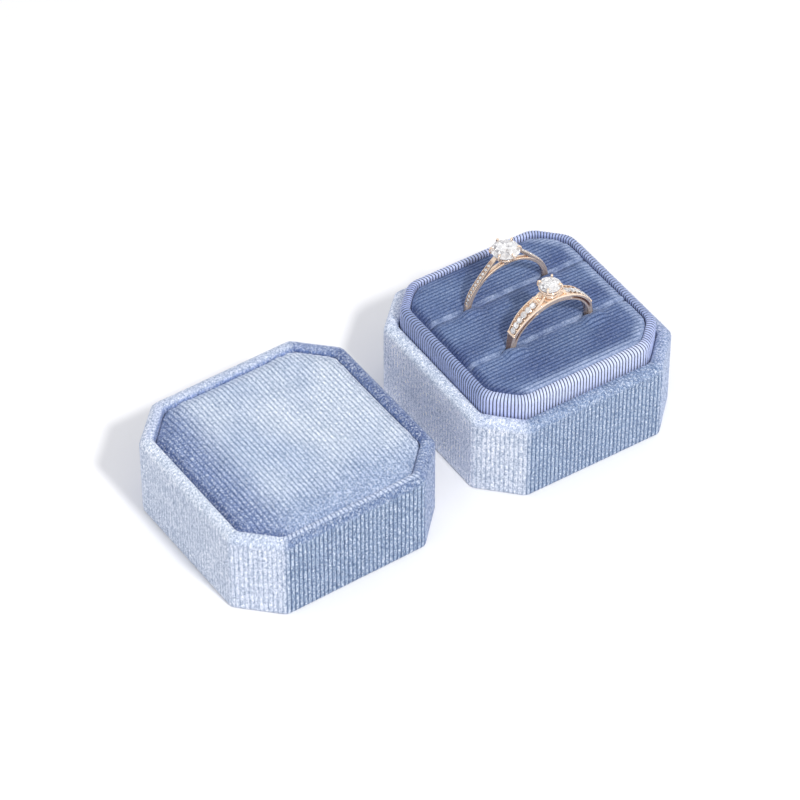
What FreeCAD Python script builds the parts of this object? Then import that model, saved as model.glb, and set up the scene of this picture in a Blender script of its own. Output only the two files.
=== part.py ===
import FreeCAD, Part
import math
import os

# Two-piece octagonal ring box: a velvet base with a raised ribbon collar and three
# padded blocks that grip rings, and a velvet lid set down beside it, right way up.
# Two rings stand in the slots.  Millimetres, +Z up.  The origin is the centre of the
# base's underside; the slots run along X and the base's front wall faces -Y.

V = FreeCAD.Vector
Y_AXIS, Z_AXIS = V(0, 1, 0), V(0, 0, 1)

# ---- driving dimensions ----
BOX = 50.0            # flat to flat, outside the velvet
CHAMFER = 8.2         # leg of each corner chamfer
EDGE_R = 1.3          # rounding of the eight upright edges
VELVET = 0.9          # velvet and glue over the board
BOARD = 1.5           # greyboard
BOARD_R = 0.5         # softened top edge of a board
TURN_IN = 0.35        # velvet turned over an edge, pressed thin
FOLD = 0.3            # velvet folded under a board's edge

BASE_H = 19.5         # base, floor to rim
RIM_R = 1.4           # rounding of the velvet rims
BASE_TURN_H = 7.0     # how far the base velvet runs down inside
UNDER_W = 4.0         # velvet margin folded under the base

COLLAR_GAP = 0.35     # air between the wall's inside and the collar
COLLAR_BOARD = 1.2
RIBBON = 0.35         # grosgrain ribbon
COLLAR_TOP = 23.9     # top of the ribbon
RIBBON_BOTTOM = 9.0
RIBBON_R = 0.45       # rounding of the ribbon's top edges, as a share of the collar's width
RIBBON_INSIDE = 5.0   # ribbon turned down inside the collar

TRAY = 1.2            # card under the pads
PAD_TOP = 23.3
PAD_SKIN = 0.7        # velvet over the foam
PAD_ROUND = 1.2
PAD_GAP = 0.1         # air between a padded piece and what holds it
SLIT = 0.9            # closed part of each slot
BACK_SLOT_Y = 8.3
FRONT_SLOT_Y = -6.4
RING_ROOM = 0.3       # air on each side of a ring's band
POCKET_ROOM = 0.6     # air round a ring's rim, in its pocket

LID_H = 20.0
LID_X, LID_Y, LID_TURN = -59.7, -1.15, 1.57   # where the lid lies, and its turn in degrees
LID_RIM = 2.9         # width of the lid's raised rim
LID_TURN_H = 6.0      # velvet turned in at the mouth
LINING = 0.3
LID_DEPTH = 14.7      # mouth to ceiling
CEILING = 0.5
LID_PAD_TOP = 19.8
LID_PAD_ROUND = 1.5

SOLITAIRE = dict(x=0.2, y=BACK_SLOT_Y, z=22.3, lean=-2.0, inner=9.25, outer=10.4,
                 top_w=1.3, low_w=1.3, stone_r=3.1, stone_z=13.0, prongs=6, wire=0.26,
                 row=(29.0, 76.0), stones=11, accent_r=0.34, seat=0.5, strut_angle=30, strut_r=0.42)
CHANNEL = dict(x=1.1, y=FRONT_SLOT_Y, z=22.9, lean=-1.5, inner=9.1, outer=10.6,
               top_w=3.5, low_w=2.1, stone_r=2.4, stone_z=13.3, prongs=4, wire=0.28,
               row=(20.0, 64.0), stones=6, accent_r=0.72, seat=0.7, strut_angle=26, strut_r=0.8)
STONE_SINK = 0.12     # the small stones' girdles lie this far below the band's outside
BAND_SOFT = 0.35      # most that a band's edges are eased
STONE_GAP = 0.03      # air between a main stone and its setting
HEAD_LIFT = 0.15      # foot of a setting, above the band's outside
SEAT_H = 0.7          # cup under a main stone
GIRDLE, CROWN, TABLE, PAVILION = 0.05, 0.3, 0.57, 0.86   # of a stone, as shares of its radius
SEAT_R, GALLERY_R, FOOT_R = 0.5, 0.72, 0.46   # of a setting, as shares of the stone's radius
PRONG_KNEE, PRONG_SHOULDER, PRONG_TIP = -0.1, 0.55, 0.95   # heights of a prong about the girdle
PRONG_OVER = 0.25     # how far a prong's tip reaches in over the stone


def octagon(inset, radius=EDGE_R):
    """The box's outline moved in by inset, with rounded corners, as a face on Z = 0."""
    half = BOX / 2 - inset
    leg = CHAMFER - (2 - math.sqrt(2)) * inset
    short = half - leg
    corners = [V(half, -short, 0), V(half, short, 0), V(short, half, 0), V(-short, half, 0),
               V(-half, short, 0), V(-half, -short, 0), V(-short, -half, 0), V(short, -half, 0)]
    round_r = max(radius - inset, 0.3)
    cut = round_r * math.tan(math.radians(22.5))
    edges, starts, ends = [], [], []
    for i, corner in enumerate(corners):
        to_last = (corners[i - 1] - corner).normalize()
        to_next = (corners[(i + 1) % 8] - corner).normalize()
        first, last = corner + to_last * cut, corner + to_next * cut
        inward = (to_last + to_next).normalize()
        middle = corner + inward * (round_r / math.cos(math.radians(22.5)) - round_r)
        edges.append(Part.Arc(first, middle, last).toShape())
        starts.append(first)
        ends.append(last)
    lines = [Part.LineSegment(ends[i], starts[(i + 1) % 8]).toShape() for i in range(8)]
    wire = Part.Wire([edge for pair in zip(edges, lines) for edge in pair])
    return Part.Face(wire)


def prism(inset, low, high):
    """A solid octagonal block between two heights."""
    face = octagon(inset)
    face.translate(V(0, 0, low))
    return face.extrude(V(0, 0, high - low))


def tube(outer_inset, inner_inset, low, high):
    """An octagonal wall between two insets."""
    return prism(outer_inset, low, high).cut(prism(inner_inset, low - 1, high + 1))


def rounded(shape, height, radius):
    """Fillet the edges that lie flat at a height."""
    flat = [edge for edge in shape.Edges
            if abs(edge.BoundBox.ZMin - height) < 1e-4 and abs(edge.BoundBox.ZMax - height) < 1e-4]
    return shape.makeFillet(radius, flat)


def block(x_low, x_high, y_low, y_high, z_low, z_high):
    return Part.makeBox(x_high - x_low, y_high - y_low, z_high - z_low, V(x_low, y_low, z_low))


def rod(start, end, start_r, end_r):
    """A straight tapered rod between two points."""
    along = end - start
    if abs(start_r - end_r) < 1e-6:
        return Part.makeCylinder(start_r, along.Length, start, along)
    return Part.makeCone(start_r, end_r, along.Length, start, along)


# ---- base: boards, velvet and collar ----
def base_parts():
    wall_in = VELVET + BOARD
    rim_in = wall_in + TURN_IN
    body = rounded(prism(0, 0, BASE_H), BASE_H, RIM_R)
    velvet = body.cut(prism(rim_in, BASE_H - BASE_TURN_H, BASE_H + 1))
    velvet = velvet.cut(prism(wall_in, FOLD, BASE_H - BASE_TURN_H))
    velvet = velvet.cut(tube(VELVET, wall_in, FOLD, BASE_H - VELVET))
    velvet = velvet.cut(prism(UNDER_W, -1, FOLD + 1))
    wall = rounded(tube(VELVET, wall_in, FOLD, BASE_H - VELVET), BASE_H - VELVET, BOARD_R)
    floor = prism(wall_in, FOLD, FOLD + BOARD)
    under = prism(UNDER_W, 0, FOLD)
    return {"base_velvet_cover": velvet, "base_wall_board": wall,
            "base_floor_board": floor, "base_underside_paper": under}


def collar_insets():
    outer = VELVET + BOARD + TURN_IN + COLLAR_GAP
    return outer, outer + RIBBON, outer + RIBBON + COLLAR_BOARD, outer + 2 * RIBBON + COLLAR_BOARD


def collar_parts():
    out, board_out, board_in, inside = collar_insets()
    floor_top = FOLD + BOARD
    board_top = COLLAR_TOP - RIBBON
    board = rounded(tube(board_out, board_in, floor_top, board_top), board_top, BOARD_R)
    ribbon = tube(out, inside, RIBBON_BOTTOM, COLLAR_TOP)
    ribbon = rounded(ribbon, COLLAR_TOP, (inside - out) * RIBBON_R)
    ribbon = ribbon.cut(rounded(tube(board_out, board_in, RIBBON_BOTTOM - 1, board_top), board_top, BOARD_R))
    ribbon = ribbon.cut(prism(board_in, RIBBON_BOTTOM - 1, COLLAR_TOP - RIBBON_INSIDE))
    return {"collar_board": board, "collar_ribbon": ribbon}


# ---- base: the padded blocks that grip the rings ----
def pocket(ring, grow):
    """The room that a ring takes in the pads, from the tray up, grown on all sides."""
    half_x = ring["outer"] + POCKET_ROOM + grow
    half_y = ring["top_w"] / 2 + RING_ROOM + grow
    return block(ring["x"] - half_x, ring["x"] + half_x, ring["y"] - half_y, ring["y"] + half_y,
                 0, PAD_TOP + 5)


def pad_parts():
    inset = collar_insets()[3] + PAD_GAP
    tray_low = FOLD + BOARD
    low = tray_low + TRAY
    reach = BOX / 2
    bands = {"back": (BACK_SLOT_Y + SLIT / 2, reach),
             "middle": (FRONT_SLOT_Y + SLIT / 2, BACK_SLOT_Y - SLIT / 2),
             "front": (-reach, FRONT_SLOT_Y - SLIT / 2)}
    parts = {"insert_tray_card": prism(inset, tray_low, low)}
    for name, (y_low, y_high) in bands.items():
        whole = rounded(prism(inset, low, PAD_TOP), PAD_TOP, PAD_ROUND)
        whole = whole.common(block(-reach, reach, y_low, y_high, 0, PAD_TOP + 1))
        core = prism(inset + PAD_SKIN, low, PAD_TOP - PAD_SKIN)
        core = core.common(block(-reach, reach, y_low + PAD_SKIN, y_high - PAD_SKIN, 0, PAD_TOP))
        for ring in (SOLITAIRE, CHANNEL):
            whole = whole.cut(pocket(ring, 0))
            core = core.cut(pocket(ring, PAD_SKIN))
        parts["pad_foam_" + name] = core
        parts["pad_velvet_" + name] = whole.cut(core)
    return parts


# ---- lid ----
def lid_parts():
    wall_in = VELVET + BOARD
    ceiling_top = LID_DEPTH + CEILING
    panel_top = ceiling_top + BOARD
    velvet = rounded(prism(0, 0, LID_H), LID_H, RIM_R)
    velvet = velvet.cut(prism(LID_RIM, panel_top, LID_H + 1))
    velvet = velvet.cut(tube(VELVET, wall_in, FOLD, LID_H - VELVET))
    velvet = velvet.cut(prism(wall_in + LINING, -1, LID_TURN_H))
    velvet = velvet.cut(prism(wall_in, LID_TURN_H, panel_top))
    wall = rounded(tube(VELVET, wall_in, FOLD, LID_H - VELVET), LID_H - VELVET, BOARD_R)
    foam = prism(LID_RIM + PAD_GAP + PAD_SKIN, panel_top, LID_PAD_TOP - PAD_SKIN)
    foam = rounded(foam, LID_PAD_TOP - PAD_SKIN, LID_PAD_ROUND - PAD_SKIN)
    pad = rounded(prism(LID_RIM + PAD_GAP, panel_top, LID_PAD_TOP), LID_PAD_TOP, LID_PAD_ROUND).cut(foam)
    parts = {"lid_velvet_cover": velvet, "lid_wall_board": wall,
             "lid_top_board": prism(wall_in, ceiling_top, panel_top),
             "lid_ceiling_velvet": prism(wall_in, LID_DEPTH, ceiling_top),
             "lid_wall_lining": tube(wall_in, wall_in + LINING, LID_TURN_H, LID_DEPTH),
             "lid_top_pad_foam": foam, "lid_top_pad_velvet": pad}
    for shape in parts.values():
        shape.rotate(V(0, 0, 0), Z_AXIS, LID_TURN)
        shape.translate(V(LID_X, LID_Y, 0))
    return parts


# ---- rings, each built round its own centre with its head at +Z ----
def band(ring):
    """A plain band that narrows from the head's side to the far side."""
    outer, inner, top, low = ring["outer"], ring["inner"], ring["top_w"] / 2, ring["low_w"] / 2
    soft = min(BAND_SOFT, 0.25 * ring["top_w"])
    half = max(top, low)
    points = [V(inner, -half + soft, 0), V(outer - soft, -half + soft / 3, 0),
              V(outer, -half + 2 * soft, 0), V(outer, half - 2 * soft, 0),
              V(outer - soft, half - soft / 3, 0), V(inner, half - soft, 0)]
    face = Part.Face(Part.makePolygon(points + points[:1]))
    whole = face.revolve(V(0, 0, 0), Y_AXIS, 360)
    side = [V(-outer - 1, -top, outer), V(-outer - 1, top, outer),
            V(-outer - 1, low, -outer), V(-outer - 1, -low, -outer)]
    wedge = Part.Face(Part.makePolygon(side + side[:1])).extrude(V(2 * outer + 2, 0, 0))
    return whole.common(wedge)


def brilliant(radius):
    """A round stone about its girdle: crown, thin girdle and pavilion."""
    girdle, crown = GIRDLE * radius, (GIRDLE + CROWN) * radius
    profile = [V(0, 0, -PAVILION * radius - girdle), V(radius, 0, -girdle), V(radius, 0, girdle),
               V(TABLE * radius, 0, crown), V(0, 0, crown)]
    return Part.Face(Part.makePolygon(profile + profile[:1])).revolve(V(0, 0, 0), Z_AXIS, 360)


def setting(ring):
    """Prongs, gallery wire and seat that carry the main stone."""
    wire, count, stone_r = ring["wire"], ring["prongs"], ring["stone_r"]
    foot = ring["outer"] + HEAD_LIFT
    girdle = ring["stone_z"]
    reach = stone_r + wire + 0.05
    shapes = [Part.makeCylinder(SEAT_R * stone_r, SEAT_H, V(0, 0, foot - 0.1)),
              Part.makeTorus(GALLERY_R * stone_r, 0.8 * wire, V(0, 0, foot + 0.45 * (girdle - foot)))]
    for i in range(count):
        angle = 2 * math.pi * (i + 0.5) / count
        out = V(math.cos(angle), math.sin(angle), 0)
        low = out * (FOOT_R * stone_r) + V(0, 0, foot + 0.1)
        knee = out * reach + V(0, 0, girdle + PRONG_KNEE)
        shoulder = out * reach + V(0, 0, girdle + PRONG_SHOULDER)
        tip = out * (stone_r - PRONG_OVER) + V(0, 0, girdle + PRONG_TIP)
        shapes += [rod(low, knee, wire, wire), Part.makeSphere(wire, knee),
                   rod(knee, shoulder, wire, wire), Part.makeSphere(wire, shoulder),
                   rod(shoulder, tip, wire, wire * 0.8), Part.makeSphere(wire * 0.8, tip)]
    whole = shapes[0].multiFuse(shapes[1:])
    return whole.cut(brilliant(stone_r + STONE_GAP).translated(V(0, 0, girdle)))


def row_stones(ring):
    """Small stones let into both shoulders at even angles from the head, as one group."""
    start, stop = ring["row"]
    step = (stop - start) / ring["stones"]
    stones = []
    for side in (1, -1):
        for i in range(ring["stones"]):
            stone = brilliant(ring["accent_r"]).translated(V(0, 0, ring["outer"] - STONE_SINK))
            stone.rotate(V(0, 0, 0), Y_AXIS, side * (start + step * (i + 0.5)))
            stones.append(stone)
    return Part.makeCompound(stones)


def groove(ring):
    """The room cut into both shoulders for a row of small stones."""
    start, stop = ring["row"]
    width = 2.2 * ring["accent_r"]
    floor = ring["outer"] - ring["seat"]
    ring_cut = Part.makeCylinder(ring["outer"] + 1, width, V(0, -width / 2, 0), Y_AXIS)
    ring_cut = ring_cut.cut(Part.makeCylinder(floor, width, V(0, -width / 2, 0), Y_AXIS))
    far = 2 * ring["outer"]
    wedges = []
    for low, high in ((start, stop), (-stop, -start)):
        a, b = math.radians(low), math.radians(high)
        corner = [V(0, -width, 0), V(far * math.sin(a), -width, far * math.cos(a)),
                  V(far * math.sin(b), -width, far * math.cos(b))]
        wedges.append(Part.Face(Part.makePolygon(corner + corner[:1])).extrude(V(0, 2 * width, 0)))
    return ring_cut.common(wedges[0].fuse(wedges[1]))


def shoulders(ring):
    """Two struts that rise from the band to the head's foot."""
    a, thick = math.radians(ring["strut_angle"]), ring["strut_r"]
    struts = []
    for side in (-1, 1):
        start = V(side * (ring["outer"] - 0.5) * math.sin(a), 0, (ring["outer"] - 0.5) * math.cos(a))
        end = V(side * 0.5 * ring["stone_r"], 0, ring["outer"] + 1.3)
        struts.append(rod(start, end, thick, thick * 0.7))
    return struts


def place(ring, parts):
    for shape in parts.values():
        shape.rotate(V(0, 0, 0), Y_AXIS, ring["lean"])
        shape.translate(V(ring["x"], ring["y"], ring["z"]))
    return parts


def ring_parts(ring, prefix):
    head = setting(ring)
    shank = band(ring).cut(groove(ring))
    shank = shank.multiFuse(shoulders(ring))
    shank = shank.cut(Part.makeCylinder(ring["inner"], 8, V(0, -4, 0), Y_AXIS))
    stones = row_stones(ring)
    shank = shank.cut(stones)
    stone = brilliant(ring["stone_r"]).translated(V(0, 0, ring["stone_z"]))
    shank = shank.cut(stone)
    head = head.cut(shank)
    return place(ring, {prefix + "_shank": shank, prefix + "_setting": head,
                        prefix + "_main_stone": stone, prefix + "_side_stones": stones})


def main():
    parts = {}
    for group in (base_parts(), collar_parts(), pad_parts(), lid_parts()):
        parts.update(group)
    parts.update(ring_parts(SOLITAIRE, "solitaire"))
    parts.update(ring_parts(CHANNEL, "channel"))
    os.makedirs("parts", exist_ok=True)
    for name, shape in parts.items():
        shape.exportStep("parts/" + name + ".step")
        box = shape.BoundBox
        print("%-24s solids %2d valid %s vol %8.1f  z %.2f..%.2f" % (
            name, len(shape.Solids), shape.isValid(), shape.Volume, box.ZMin, box.ZMax))


main()
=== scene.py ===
import math

import bmesh
import bpy
import numpy as np
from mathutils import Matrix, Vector
from mathutils.bvhtree import BVHTree


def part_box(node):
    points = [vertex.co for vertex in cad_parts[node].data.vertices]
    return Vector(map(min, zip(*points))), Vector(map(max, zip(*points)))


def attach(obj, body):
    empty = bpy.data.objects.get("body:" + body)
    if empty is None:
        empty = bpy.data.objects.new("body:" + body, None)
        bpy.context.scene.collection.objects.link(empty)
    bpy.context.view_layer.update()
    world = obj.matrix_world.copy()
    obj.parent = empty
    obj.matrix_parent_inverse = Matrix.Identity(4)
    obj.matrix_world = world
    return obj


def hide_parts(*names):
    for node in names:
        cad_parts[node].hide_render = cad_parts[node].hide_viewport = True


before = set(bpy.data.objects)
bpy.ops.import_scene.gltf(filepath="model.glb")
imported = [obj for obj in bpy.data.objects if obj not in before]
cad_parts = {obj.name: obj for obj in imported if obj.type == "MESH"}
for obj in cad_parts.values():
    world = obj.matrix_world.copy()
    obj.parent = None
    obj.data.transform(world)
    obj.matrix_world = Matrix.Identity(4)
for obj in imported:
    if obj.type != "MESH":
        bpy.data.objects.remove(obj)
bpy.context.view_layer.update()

# An octagonal ring box in ribbed velvet: the base stands open with its ribbon collar, three
# padded blocks and two rings, and the lid lies beside it, right way up.
# Sizes here are millimetres; every mesh is scaled to metres as it is made.

MM = 0.001


def cad(*nodes):
    """Lowest and highest corner round some CAD nodes, in millimetres."""
    boxes = [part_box(node) for node in nodes]
    low = np.min([np.array(b[0]) for b in boxes], axis=0) / MM
    high = np.max([np.array(b[1]) for b in boxes], axis=0) / MM
    return low, high


# ---- sizes that follow the frame ----
BASE_LOW, BASE_HIGH = cad("base_velvet_cover")
LID_LOW, LID_HIGH = cad("lid_velvet_cover")
RIBBON_LOW, RIBBON_HIGH = cad("collar_ribbon")
HALF = (BASE_HIGH[0] - BASE_LOW[0]) / 2
LEG = 8.2                       # leg of each corner chamfer
LEG_LOSS = 2 - math.sqrt(2)     # how fast that leg shrinks as the octagon is inset
LID_CENTRE = (LID_LOW + LID_HIGH) / 2
LID_TURN = math.radians(1.57)
COVER_IN = 0.9                  # thickness of the velvet cover
TURNED_IN = 0.3                 # its thickness where it is turned in
WALL_IN = 2.4                   # velvet and board together
RIM_WIDTH = 2.9                 # the lid's rim round its padded panel
RIBBON_OUT = HALF - RIBBON_HIGH[0]
RIBBON_IN = RIBBON_OUT + 1.9
COLLAR_SOFT = 2.0               # length of the rounding at the collar's corners
PAD_INSET = HALF - cad("pad_velvet_middle")[1][0]
PAD_LOW, PAD_HIGH = cad("pad_velvet_back", "pad_velvet_middle", "pad_velvet_front")

# ---- cloth ----
WALE = 1.0                      # pitch of the velvet's ribs
WALE_H = 0.12                   # how far a rib stands up
RIB = 0.765                     # pitch of the ribbon's ribs
RIB_H = 0.13
PER_WALE = 6                    # mesh columns in each rib
FUZZ = 0.022                    # unevenness of the pile on the covers and the ribbon
PAD_FUZZ, SIDE_FUZZ = 0.012, 0.006      # and on the pads' tops and sides
PLAIN = 0.7                     # ridge value of velvet that shows no ribs
LEVEL = 0.75                    # ridge value at which a rib neither rises nor sinks
COVER_STEP = 0.36               # row pitch on the covers

rng = np.random.RandomState(7)


def linear(r, g, b):
    """An sRGB colour of 0 to 255 as linear numbers."""
    c = np.array([r, g, b]) / 255.0
    return np.where(c <= 0.04045, c / 12.92, ((c + 0.055) / 1.055) ** 2.4)


def smooth(x, low, high):
    """Rises softly from 0 at low to 1 at high."""
    t = np.clip((np.asarray(x, float) - low) / (high - low), 0, 1)
    return t * t * (3 - 2 * t)


def blend(a, b, share):
    return a * (1 - share) + b * share


def toward(colours, target, share):
    """Colours moved towards a target, each point by its own share."""
    return colours + (target - colours) * share[:, None]


def rib_wave(phase):
    """Ribbed cloth in profile: broad round crests with narrow grooves at whole phases."""
    return np.abs(np.sin(math.pi * phase)) ** 0.75


def unit(v):
    return v / np.linalg.norm(v, axis=1)[:, None]


def turned(verts, angle, a=0, b=1):
    """Vertices turned by an angle from axis a towards axis b."""
    c, s = math.cos(angle), math.sin(angle)
    result = np.array(verts)
    result[:, a] = verts[:, a] * c - verts[:, b] * s
    result[:, b] = verts[:, a] * s + verts[:, b] * c
    return result


def on_lid(verts):
    """Vertices round the lid's own middle, moved to where the lid lies."""
    return turned(verts, LID_TURN) + (LID_CENTRE[0], LID_CENTRE[1], 0)


def quads(rows, columns, closed=True):
    """Faces of a grid whose rows close on themselves; the last row joins the first if closed."""
    index = np.arange(rows * columns).reshape(rows, columns)
    up, right = np.roll(index, -1, axis=0), np.roll(index, -1, axis=1)
    faces = np.stack([index, right, np.roll(up, -1, axis=1), up], axis=2)
    return faces[:rows if closed else rows - 1].reshape(-1, 4).tolist()


def make_object(name, verts, faces, material, **layers):
    """A mesh object from millimetre vertices, with colour or value layers on its points."""
    mesh = bpy.data.meshes.new(name)
    mesh.from_pydata((np.asarray(verts, float) * MM).tolist(), [], faces)
    mesh.validate()
    mesh.update()
    for key, values in layers.items():
        values = np.asarray(values, float)
        if values.ndim == 1:
            mesh.attributes.new(key, "FLOAT", "POINT").data.foreach_set("value", values)
        else:
            rgba = np.concatenate([values, np.ones((len(values), 1))], axis=1)
            mesh.attributes.new(key, "FLOAT_COLOR", "POINT").data.foreach_set("color", rgba.ravel())
    mesh.polygons.foreach_set("use_smooth", [True] * len(mesh.polygons))
    mesh.materials.append(material)
    obj = bpy.data.objects.new(name, mesh)
    bpy.context.scene.collection.objects.link(obj)
    return obj


# ---- materials ----
class Nodes:
    """A short way to wire a material's nodes."""

    def __init__(self, name):
        self.material = bpy.data.materials.new(name)
        self.material.use_nodes = True
        self.tree = self.material.node_tree
        self.shader = self.tree.nodes["Principled BSDF"]
        self.place = self.node("ShaderNodeTexCoord", {}, "Object")

    def feed(self, socket, value):
        """Link an output to a socket, or set a number, a vector or a colour on it."""
        if hasattr(value, "links"):
            self.tree.links.new(value, socket)
        elif np.isscalar(value):
            socket.default_value = value
        else:
            socket.default_value = (*value, 1.0)[:len(socket.default_value)]

    def node(self, kind, inputs, output, **settings):
        """Add a node with its settings and inputs, and return one of its outputs."""
        node = self.tree.nodes.new(kind)
        for key, value in settings.items():
            setattr(node, key, value)
        for key, value in inputs.items():
            self.feed(node.inputs[key], value)
        return node.outputs[output]

    def attribute(self, name, output="Fac"):
        return self.node("ShaderNodeAttribute", {}, output, attribute_name=name)

    def noise(self, scale, detail, roughness=0.5, stretch=(1, 1, 1)):
        place = self.node("ShaderNodeMapping", {"Vector": self.place, "Scale": stretch}, "Vector")
        inputs = {"Vector": place, "Scale": scale, "Detail": detail, "Roughness": roughness}
        return self.node("ShaderNodeTexNoise", inputs, "Fac")

    def remap(self, value, low, high, to_low, to_high):
        """A value carried from one range to another, softly at both ends."""
        inputs = {"Value": value, "From Min": low, "From Max": high, "To Min": to_low, "To Max": to_high}
        return self.node("ShaderNodeMapRange", inputs, "Result", interpolation_type="SMOOTHSTEP")

    def math(self, operation, a, b):
        return self.node("ShaderNodeMath", {0: a, 1: b}, 0, operation=operation)

    def times(self, a, b):
        return self.math("MULTIPLY", a, b)

    def mix(self, factor, a, b, how="MIX"):
        """Two colours mixed; they are the node's inputs 6 and 7."""
        return self.node("ShaderNodeMix", {0: factor, 6: a, 7: b}, 2, data_type="RGBA", blend_type=how)

    def scale(self, colour, channels):
        """A colour multiplied by a value for each of its three channels."""
        factors = self.node("ShaderNodeCombineColor", dict(enumerate(channels)), 0)
        return self.mix(1.0, colour, factors, "MULTIPLY")

    def paint(self, colour):
        self.feed(self.shader.inputs["Base Color"], colour)

    def bump(self, height, distance, strength):
        inputs = {"Distance": distance * MM, "Strength": strength, "Height": height}
        self.feed(self.shader.inputs["Normal"], self.node("ShaderNodeBump", inputs, "Normal"))

    def set(self, **values):
        """Set the shader's own values, and return the material."""
        for key, value in values.items():
            self.shader.inputs[key.replace("_", " ")].default_value = value
        return self.material


def pile_material(name, groove, crest, grain, painted_glint_strength, sheen):
    """Velvet: its colour with painted light and shade on each side, painted shade between the ribs and
    painted light on their crests, broken into tufts along them, with painted pale glints on the crests."""
    n = Nodes(name)
    ridge = n.attribute("ridge")
    painted_groove_shade = n.remap(ridge, 0.1, 0.95, groove, crest)
    patches = n.remap(n.noise(230, 3), 0.3, 0.7, 0.94, 1.06)
    tufts = n.noise(2000, 3, 0.65, (1, 1, 0.55))
    tufts = n.remap(tufts, 0.36, 0.64, 1 - 0.6 * grain, 1 + 0.55 * grain)
    fibre = n.remap(n.noise(4800, 3, 0.75), 0.34, 0.66, 1 - grain, 1 + grain)
    groove_shade_and_grain = n.times(n.times(painted_groove_shade, patches), n.times(tufts, fibre))
    # the painted shade between the ribs and the darker grain turn bluer, the lighter parts whiter
    channels = [n.math("POWER", groove_shade_and_grain, power) for power in (1.25, 1.05, 0.8)]
    colour = n.scale(n.attribute("nap", "Color"), channels)
    # painted glints: pale flecks on the rib crests, standing in for fibres that catch the light
    painted_glint = n.remap(n.noise(2800, 4, 0.8, (1, 1, 0.6)), 0.5, 0.61, 0.0, painted_glint_strength)
    painted_glint = n.times(painted_glint, n.remap(ridge, 0.4, 0.9, 0.1, 1.0))
    n.paint(n.mix(painted_glint, colour, linear(226, 234, 247)))
    n.bump(n.noise(5200, 3, 0.7), 0.06, 0.8)
    return n.set(Roughness=0.8, Specular_IOR_Level=0.25, Sheen_Weight=sheen, Sheen_Roughness=0.35,
                 Sheen_Tint=(0.85, 0.9, 1.0, 1.0))


def ribbon_material():
    """Grosgrain: smooth ribs of filament yarn, with painted shade between them and painted light on their
    crests, over its colour with painted light on each side.
    """
    n = Nodes("grosgrain_ribbon")
    # painted shade in the grooves between the ribs, painted light on their crests
    painted_groove_shade = n.remap(n.attribute("ridge"), 0.2, 0.88, 0.08, 1.42)
    yarn = n.remap(n.noise(2600, 2, 0.6, (1, 1, 0.3)), 0.3, 0.7, 0.9, 1.08)
    n.paint(n.scale(n.attribute("nap", "Color"), [n.times(painted_groove_shade, yarn)] * 3))
    n.bump(n.noise(6000, 2), 0.02, 0.5)
    return n.set(Roughness=0.5, Specular_IOR_Level=0.4, Sheen_Weight=0.25, Sheen_Roughness=0.4,
                 Sheen_Tint=(0.85, 0.88, 1.0, 1.0))


def gold_material():
    """Polished rose gold with faint wear in its gloss, with painted shade where it turns away, standing in
    for dark reflections, and painted light and shade from each part's own values.
    """
    n = Nodes("rose_gold")
    facing = n.node("ShaderNodeLayerWeight", {"Blend": 0.5}, "Facing")
    # painted shade where the surface turns away, standing in for dark reflections at grazing angles
    painted_grazing_shade = n.remap(facing, 0.5, 0.95, 1.0, 0.55)
    wear = n.remap(n.noise(700, 3), 0.3, 0.7, 0.94, 1.0)
    tone = n.times(n.times(n.attribute("tone"), wear), painted_grazing_shade)
    # the painted light and shade, with faint random wear, run from dark brown to pale gold
    n.paint(n.mix(tone, linear(112, 54, 32), linear(255, 231, 207)))
    n.feed(n.shader.inputs["Roughness"], n.remap(n.noise(2500, 3), 0.3, 0.7, 0.1, 0.18))
    return n.set(Metallic=0.7)


def stone_material():
    """Clear stone: facets with painted light and dark, standing in for the light they catch or miss, with a
    glassy face.
    """
    n = Nodes("clear_stone")
    tone = n.remap(n.attribute("tone"), 0.0, 1.0, 0.0, 1.0)
    n.paint(n.mix(tone, (0.28, 0.27, 0.3), (1.0, 1.0, 1.0)))
    n.feed(n.shader.inputs["Roughness"], n.remap(n.noise(1500, 2), 0.3, 0.7, 0.0, 0.04))
    return n.set(IOR=2.0, Transmission_Weight=0.35, Specular_IOR_Level=0.8)


def board_material():
    """Uncoated grey board with flecks."""
    n = Nodes("greyboard")
    fleck = n.remap(n.noise(900, 4, 0.7), 0.35, 0.7, 0.0, 1.0)
    n.paint(n.mix(fleck, linear(150, 146, 138), linear(178, 174, 166)))
    n.bump(n.noise(2600, 3), 0.03, 0.5)
    return n.set(Roughness=0.92, Specular_IOR_Level=0.2)


def flock_material(name, dark, light):
    """Short flocked paper or plain lining cloth."""
    n = Nodes(name)
    grain = n.remap(n.noise(4200, 3, 0.7), 0.3, 0.7, 0.0, 1.0)
    n.paint(n.mix(grain, linear(*dark), linear(*light)))
    n.bump(n.noise(4800, 2), 0.03, 0.6)
    return n.set(Roughness=0.9, Specular_IOR_Level=0.2, Sheen_Weight=0.3, Sheen_Roughness=0.5)


VELVET = pile_material("ribbed_velvet", 0.55, 1.12, 0.46, 0.9, 0.3)
PAD_VELVET = pile_material("pad_velvet", 0.5, 1.15, 0.3, 0.16, 0.2)
PANEL_VELVET = pile_material("panel_velvet", 0.64, 1.08, 0.46, 0.9, 0.3)
RIBBON = ribbon_material()
GOLD = gold_material()
STONE = stone_material()
BOARD = board_material()
FLOCK = flock_material("flocked_paper", (60, 80, 125), (84, 106, 152))
LINING = flock_material("lining_cloth", (66, 88, 134), (88, 112, 160))


# ---- the octagon ----
def spans(inset):
    """At an inset: half the octagon's width, and half the length of a side that faces an axis."""
    half = HALF - inset
    return half, half - (LEG - LEG_LOSS * inset)


def chamfer_reach(inset):
    """How far the corner chamfers lie from the middle."""
    return sum(spans(inset)) / math.sqrt(2)


def corners(inset):
    """The outline's eight corners, moved in by inset. Side 0 faces +X and side 6 faces -Y."""
    half, short = spans(inset)
    return np.array([(half, -short), (half, short), (short, half), (-short, half),
                     (-half, short), (-half, -short), (-short, -half), (short, -half)])


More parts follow.
